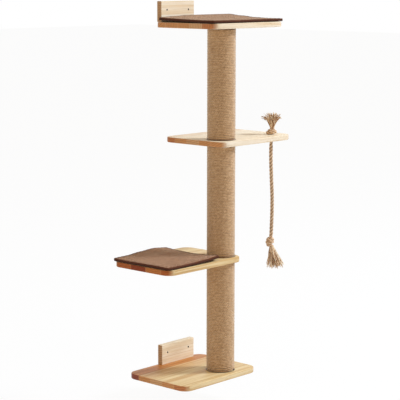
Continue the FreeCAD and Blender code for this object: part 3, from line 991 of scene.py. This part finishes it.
def brush(name, count, spread, length_range, thick_range, body, material, *stands_for):
    """A bundle of yarns that starts in a tight neck at its root, given by lean and height, and opens
    out towards its far end. length_range holds the limits of a yarn's reach along Z, negative for
    one that hangs, and thick_range those of its radius."""
    root_lean, root_z = spread["root"]
    tubes = []
    for _ in range(count):
        reach = sqrt(chance.random())
        angle = chance.uniform(0, tau)
        away_lean = reach * cos(angle)
        away_aside = reach * sin(angle)
        length = chance.uniform(*length_range)
        wave = chance.uniform(0.0006, 0.0032)
        wave_turn = chance.uniform(0, tau)
        wave_count = chance.uniform(0.6, 1.5)
        thick = chance.uniform(*thick_range)
        droop = spread["droop"] * reach ** 2 * chance.uniform(0.5, 1.5)
        path = []
        radii = []
        for step in range(YARN_STEPS + 1):
            t = step / YARN_STEPS
            opening = t ** spread["power"]
            neck = spread["neck"] * (1 - t)
            lean = root_lean + away_lean * (neck + spread["lean"] * opening) + spread["shift"] * opening
            aside = away_aside * (neck + spread["aside"] * opening)
            curl = spread["curl"] * wave * t * sin(tau * wave_count * t + wave_turn)
            z = root_z + length * t - droop * t ** 3
            path.append(lean_point(lean + curl, z, aside + curl * 0.7))
            radii.append(thick * (1.0 - YARN_TAPER * t ** 3))
        tubes.append((path, radii, YARN_SIDES))
    obj = add_tubes(name, tubes, material)
    place(obj, body, "toy_strands", *stands_for)
    return obj


# ---- camera, lights and floor
CAMERA_PLACE = Vector((-4.0633, -3.8407, 0.1314))
CAMERA_YAW = radians(47.622)
CAMERA_PITCH = radians(8.651)
CAMERA_ROLL = radians(0.096)
FOCAL_PIXELS = 1486.2
FRAME_PIXELS = 400
SENSOR_WIDTH = 36.0
FLOOR_Z = -1.47
FLOOR_REACH = 30.0
FLOOR_WHITE = 0.94


def add_camera():
    """The camera that the photograph was taken with, as fitted to the boards' corners."""
    data = bpy.data.cameras.new("camera")
    data.sensor_fit = "HORIZONTAL"
    data.sensor_width = SENSOR_WIDTH
    data.lens = FOCAL_PIXELS * SENSOR_WIDTH / FRAME_PIXELS
    data.clip_end = 100
    camera = add_object("camera", data)
    level = cos(CAMERA_PITCH)
    sink = -sin(CAMERA_PITCH)
    forward = Vector((sin(CAMERA_YAW) * level, cos(CAMERA_YAW) * level, sink))
    right = Vector((cos(CAMERA_YAW), -sin(CAMERA_YAW), 0))
    up = right.cross(forward)
    rolled_right = right * cos(CAMERA_ROLL) + up * sin(CAMERA_ROLL)
    rolled_up = rolled_right.cross(forward)
    turn = Matrix((rolled_right, rolled_up, -forward)).transposed()
    camera.matrix_world = Matrix.Translation(CAMERA_PLACE) @ turn.to_4x4()
    scene.camera = camera


def area_light(name, location, target, size, power, colour):
    """A rectangular lamp that looks at target, and that no reflection shows."""
    data = bpy.data.lights.new(name, "AREA")
    data.shape = "RECTANGLE"
    data.size, data.size_y = size
    data.energy = power
    data.color = colour
    light = add_object(name, data)
    light.location = location
    light.rotation_euler = (Vector(target) - Vector(location)).to_track_quat("-Z", "Y").to_euler()
    light.visible_glossy = False


def light_world():
    """Soft even light, and plain white where the camera or a reflection sees past the floor."""
    world = bpy.data.worlds.new("studio")
    scene.world = world
    world.use_nodes = True
    made = Tree(world.node_tree)
    light = made.tree.nodes["Background"]
    light.inputs["Color"].default_value = (1.0, 0.925, 0.825, 1)
    light.inputs["Strength"].default_value = 0.5
    white = made.node("Background", {"Color": (1, 1, 1, 1)})
    rays = made.node("LightPath").outputs
    inputs = {0: rays["Is Camera Ray"], 1: rays["Is Glossy Ray"]}
    seen = made.node("Math", inputs, operation="ADD", use_clamp=True)
    inputs = {0: seen.outputs[0], 1: light.outputs[0], 2: white.outputs[0]}
    mix = made.node("MixShader", inputs)
    made.put(made.tree.nodes["World Output"].inputs[0], mix.outputs[0])


def add_floor():
    """A wide white floor that shows only the softest shadow."""
    made = Surface("floor", 0.9)
    speck = made.noise(made.scaled(made.coordinates(), (3, 3, 3)), 2.0)
    made.colour(made.ramp(speck, [(0.0, (0.93, 0.93, 0.93, 1)), (1.0, (0.96, 0.96, 0.96, 1))]))
    white = made.node("Emission", {"Strength": 1.0})
    seen = made.times(made.node("LightPath").outputs["Is Camera Ray"], FLOOR_WHITE)
    mix = made.node("MixShader", {0: seen, 1: made.shader.outputs[0], 2: white.outputs[0]})
    made.put(made.tree.nodes["Material Output"].inputs["Surface"], mix.outputs[0])
    corners = [(-1, -1), (1, -1), (1, 1), (-1, 1)]
    points = [(x * FLOOR_REACH, y * FLOOR_REACH, FLOOR_Z) for x, y in corners]
    add_mesh("floor", points, [(0, 1, 2, 3)], made.material, smooth=False)


# ---- the object
add_camera()
light_world()
area_light("key", (3.7, -3.25, 2.75), (0.05, -0.2, -0.65), (1.2, 1.2), 316, (0.87, 0.965, 1.11))
area_light("fill", (-4.2, -1.2, -0.2), (0.0, -0.15, -0.65), (3.0, 3.0), 34, (1.0, 0.90, 0.78))
add_floor()

scene.view_settings.view_transform = "Standard"

steel = metal_material("zinc_steel")
card = plain_wood("card", tint(176, 146, 106), tint(150, 118, 80), 0.85)
plug = plain_wood("turned_pine", tint(226, 190, 140), tint(196, 152, 100))
sisal_tones = (tint(236, 204, 162), tint(190, 148, 103), tint(112, 74, 42))
toy_tones = (tint(252, 228, 196), tint(230, 194, 156), tint(76, 46, 30))
# The knots are the toy rope painted paler, with less crevice shade: painted light against the knots' own
# shade.
knot_tones_painted_lighter = (tint(255, 234, 204), tint(242, 204, 162), tint(124, 82, 52))
sisal_twist = {"strands": 3, "lay": 0.0075, "relief": 0.35}
toy_twist = {"strands": 6, "lay": 0.016, "relief": 0.3}
sisal = rope_material("sisal", *sisal_tones, **sisal_twist, crevice=(-0.1, 0.6), fuzz=1.3)
toy = rope_material("toy_rope", *toy_tones, **toy_twist, crevice=(0.2, 0.95), fuzz=0.3)
knotted_painted_lighter = rope_material("knotted_painted_lighter", *knot_tones_painted_lighter, **toy_twist, crevice=(0.0, 0.85), fuzz=0.5)
frayed = strand_material("frayed", tint(252, 234, 204), tint(230, 196, 154), tint(152, 104, 68))
felt = felt_material("felt")
tape = binding_material("binding_tape")
hooks = hook_material("hook_tape")

# Where a row of staves starts and ends along Y, and how much wood reflects.
EVEN_SPAN = (0.0, -0.300)
SHIFTED_SPAN = (-0.021, -0.321)
SATIN = 0.6
DULL = 0.25

# Each board's span, face tones and reflection, and its staves' end-grain colours and warmth, from
# the wall out.
BOARDS = {
    "bottom_board": (
        EVEN_SPAN, HONEY, SATIN,
        [(END_DARK, 0.9), (END_ORANGE, 0.35), (END_TAN, 0.0), (END_ORANGE, 0.05), (END_RED, 0.0)],
    ),
    "lower_board": (
        SHIFTED_SPAN, HONEY, DULL,
        [(END_BROWN, 0.0), (END_DARK, 0.1), (END_RED, 0.0), (END_BROWN, 0.0)],
    ),
    "upper_board": (
        EVEN_SPAN, CREAM, SATIN,
        [(END_RED, 0.2), (END_ORANGE, 0.0), (END_TAN, 0.0), (END_ORANGE, 0.0), (END_ORANGE, 0.0)],
    ),
    "top_board": (
        EVEN_SPAN, CREAM, SATIN,
        [(END_ORANGE, 0.1), (END_ORANGE, 0.0), (END_ORANGE, 0.0), (END_TAN, 0.0), (END_RED, 0.0)],
    ),
}
BOLT_HOLE = 0.0043
HEAD_HOLE = 0.0103
HEAD_DEPTH = 0.0026
TOY_HOLE = 0.0065
SCREW_HOLE = 0.0026
SCREW_HEAD = 0.00485
SCREW_X = 0.062
SCREW_Y = -0.01
WALL_HOLE_X = 0.058
WALL_HOLE_Z = {"bottom_wall_plate": -1.3, "top_wall_plate": 0.0}
PLATE_SPAN = (0.0, -0.02)
PLATE_SEED = 9

# How far a cutter stands out past the face that it cuts: through a hole's ends, and at a head.
PROUD = 0.002
HEAD_PROUD = 0.0001

for seed, (node, (glued, faces, gloss, staves)) in enumerate(BOARDS.items()):
    low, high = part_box(node)
    holes = [(POST_X, POST_Y, BOLT_HOLE, low.z - PROUD, high.z + PROUD)]
    if node == "bottom_board":
        holes.append((POST_X, POST_Y, HEAD_HOLE, low.z - PROUD, low.z + HEAD_DEPTH))
    if node == "top_board":
        holes.append((POST_X, POST_Y, HEAD_HOLE, high.z - HEAD_DEPTH, high.z + PROUD))
    if node in ("bottom_board", "top_board"):
        sink = SCREW_HEAD - SCREW_HOLE
        for x in (-SCREW_X, SCREW_X):
            holes.append((x, SCREW_Y, SCREW_HEAD, low.z - HEAD_PROUD, low.z + sink, SCREW_HOLE))
            holes.append((x, SCREW_Y, SCREW_HOLE, low.z + sink / 2, high.z + PROUD))
    if node == "upper_board":
        holes.append((TOY_X, TOY_Y, TOY_HOLE, low.z - PROUD, high.z + PROUD))
    board(node, wood(node + "_wood", glued, faces, staves, seed, gloss), holes)

for node, height in WALL_HOLE_Z.items():
    plate_stave = [(END_PLATE, 0.0)]
    holes = (WALL_HOLE_X, height)
    dress(wood(node + "_wood", PLATE_SPAN, CREAM, plate_stave, PLATE_SEED, SATIN, holes), node)
dress(steel, "plate_screws", "joining_studs", "end_bolts")
dress(card, "bottom_post_core", "middle_post_core", "top_post_core")
dress(plug, "post_plugs")
dress(hooks, "mat_hook_patches")

# The angle in degrees at which each post's rope starts.
for name, start in (("bottom", -62), ("middle", 100), ("top", 130)):
    low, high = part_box(name + "_post_core")
    stands_for = [name + "_sisal_wrap"]
    if name == "bottom":
        stands_for.append("sisal_end_turns")
    winding(name + "_winding", low.z, high.z, radians(start), sisal, *stands_for)

# How far each mat is raised off its board: rows from the front edge to the wall, left to right.
LOWER_MAT_NET = [
    [0.0005, 0.0, 0.001, 0.004, 0.009],
    [0.001, 0.0005, 0.0, 0.001, 0.0025],
    [0.0005, 0.0, 0.0015, 0.001, 0.0],
    [0.0, 0.001, 0.004, 0.006, 0.0015],
    [0.0005, 0.0015, 0.0065, 0.010, 0.005],
]
TOP_MAT_NET = [
    [0.001, 0.0005, 0.0, 0.0005, 0.001, 0.0005],
    [0.001, 0.0005, 0.001, 0.0005, 0.001, 0.0005],
    [0.0025, 0.002, 0.003, 0.003, 0.0025, 0.0025],
    [0.0045, 0.0055, 0.0065, 0.0075, 0.0075, 0.0075],
    [0.0065, 0.0095, 0.012, 0.0125, 0.0125, 0.0125],
]
mat("lower_mat", LOWER_MAT_NET, felt, tape)
mat("top_mat", TOP_MAT_NET, felt, tape)

# Where the bend of the swinging rope starts and ends, over and under the pivot.
rope_path = even(smooth_route(TOY_ROUTE))
rope = add_twisted("toy_hanging_rope", [rope_path], toy, loosens=True)
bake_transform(rope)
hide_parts("toy_rope")

# The neck ends out of sight in the top knot. Its strands meet those of the hanging rope.
NECK_TOP_Z = BOARD_TOP_Z + 0.02
neck_path = even([Vector((TOY_X, TOY_Y, NECK_TOP_Z)), Vector((TOY_X, TOY_Y, PIVOT_Z))])
neck_phase = -tau * (NECK_TOP_Z - PIVOT_Z) / TOY_LAY
neck = add_twisted("toy_neck_strands", [neck_path], toy, neck_phase)
place(neck, "toy_top", "toy_rope", "toy_neck")

top_knot_route = stopper_route(
    1.8, (0.0162, BOARD_TOP_Z + 0.0066, 0.0), (0.0095, BOARD_TOP_Z + 0.0152, 0.005)
)
top_knot = add_twisted("toy_top_knot_strands", [even(top_knot_route)], knotted_painted_lighter)
place(top_knot, "toy_top", "toy_rope", "toy_top_knot")

KNOT_TOP_Z = -0.862
KNOT_FOOT_Z = -0.908
bottom_turns = ball_route(2.7, 0.0112, KNOT_TOP_Z - 0.011, KNOT_FOOT_Z + 0.008, -0.001)
bottom_core = [lean_point(0.003, KNOT_TOP_Z), lean_point(-0.001, -0.885), lean_point(0.004, KNOT_FOOT_Z)]
bottom_knot = add_twisted(
    "toy_bottom_knot_strands",
    [even(bottom_turns), even(softened(even(bottom_core), 12))],
    knotted_painted_lighter,
)
place(bottom_knot, "toy_hang", "toy_rope", "toy_bottom_knot")

FIBRE_RADII = (0.0002, 0.0004)
tuft = {
    "root": (0.004, BOARD_TOP_Z + 0.014),
    "power": 1.8, "lean": 0.041, "aside": 0.035, "shift": -0.001, "droop": 0.021, "neck": 0.0072, "curl": 2.0
}
brush("toy_tuft_yarns", 84, tuft, (0.061, 0.072), (0.0011, 0.0022), "toy_top", frayed, "toy_top_tuft")
brush("toy_tuft_fibres", 70, tuft, (0.056, 0.075), FIBRE_RADII, "toy_top", frayed)

flare = {
    "root": (0.005, KNOT_FOOT_Z + 0.006),
    "power": 1.1, "lean": 0.033, "aside": 0.026, "shift": 0.016, "droop": 0.0, "neck": 0.006, "curl": 1.2
}
lengths = (-0.089, -0.068)
radii = (0.0010, 0.0020)
tassel = brush("toy_tassel_yarns", 108, flare, lengths, radii, "toy_hang", frayed, "toy_bottom_tassel")
lengths = (-0.091, -0.055)
tassel_fibres = brush("toy_tassel_fibres", 70, flare, lengths, FIBRE_RADII, "toy_hang", frayed)
